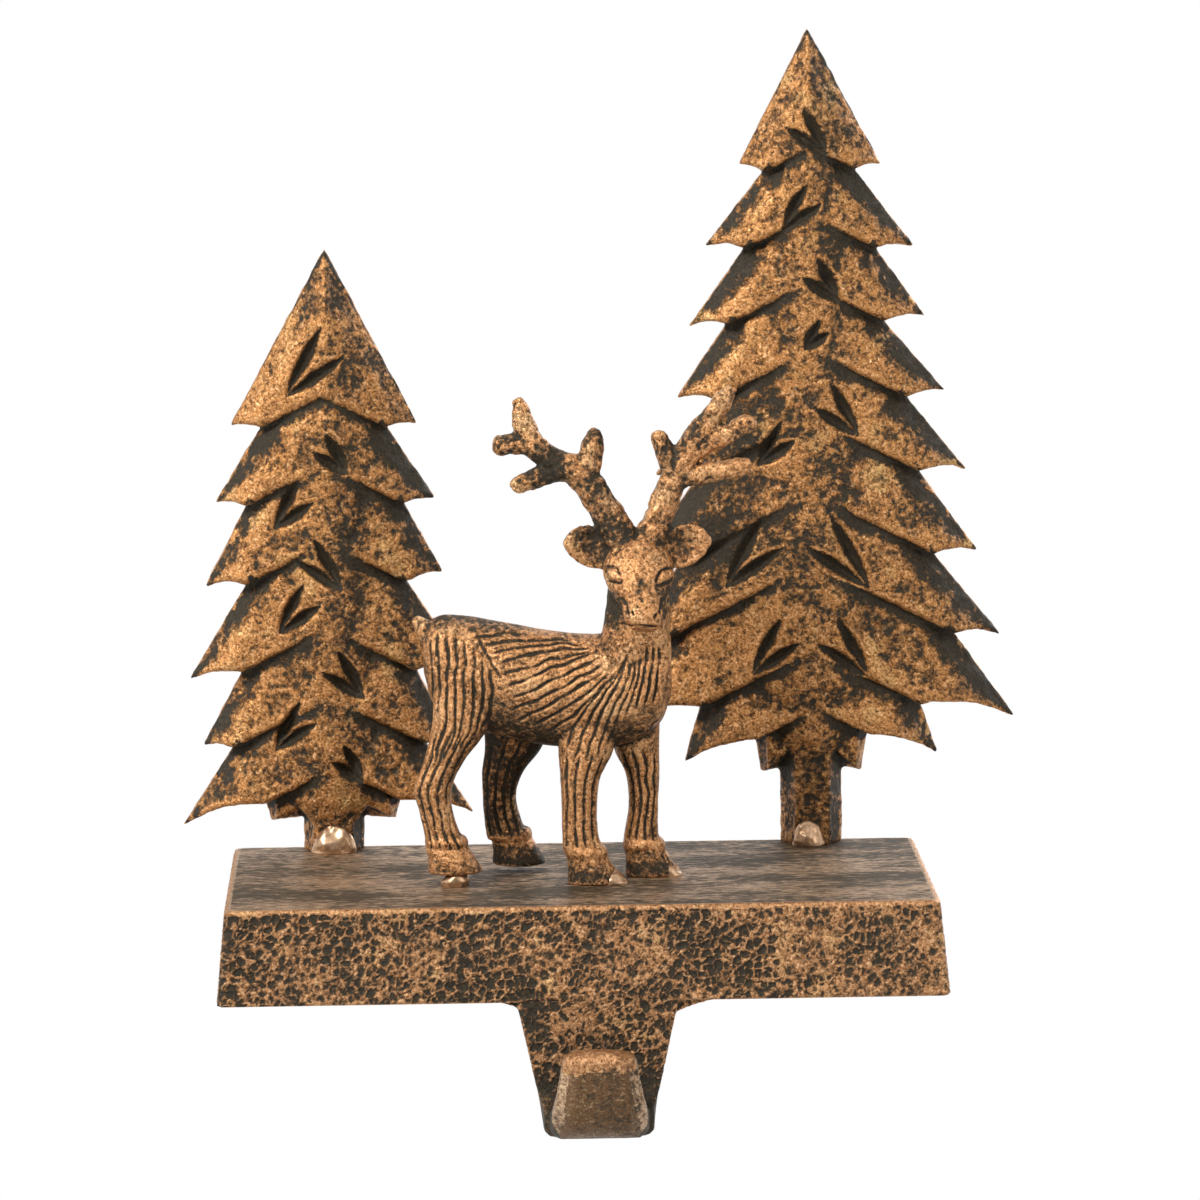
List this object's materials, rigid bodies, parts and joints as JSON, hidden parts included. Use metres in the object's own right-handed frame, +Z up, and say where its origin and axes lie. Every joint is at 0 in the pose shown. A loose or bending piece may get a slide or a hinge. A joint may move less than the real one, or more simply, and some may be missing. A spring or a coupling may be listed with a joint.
{
  "type": "mantel stocking holder",
  "caption": "Cast mantel stocking holder: hollow base with a front hook, a tall and a short fir tree and a standing stag with antlers, welded on and finished in rubbed copper.",
  "frame": {"origin": "middle of the base's footprint on the mantel, on the underside of the pads", "axes": "+X to the right seen from the front, +Y towards the wall, +Z up; the hook hangs below z = 0 in front of the mantel's edge"},
  "size_m": [0.1836, 0.0905, 0.2267],
  "materials": {
    "base_patina": "hammered casting, blackened and rubbed with antique copper",
    "tree_patina": "carved casting, blackened and rubbed with antique copper",
    "stag_patina": "fine casting, blackened and rubbed with antique copper and gold",
    "weld_metal": "bright weld bead, washed with copper",
    "pad_rubber": "matt foam rubber"
  },
  "bodies": {
    "root": {"base_casting": "base_patina", "tall_tree": "tree_patina", "short_tree": "tree_patina", "stag": "stag_patina", "weld_tall_tree": "weld_metal", "weld_short_tree": "weld_metal", "weld_near_hind_hoof": "weld_metal", "weld_near_fore_hoof": "weld_metal", "weld_far_fore_hoof": "weld_metal", "pad_front_left": "pad_rubber", "pad_front_right": "pad_rubber", "pad_rear_left": "pad_rubber", "pad_rear_right": "pad_rubber"}
  },
  "joints": []
}
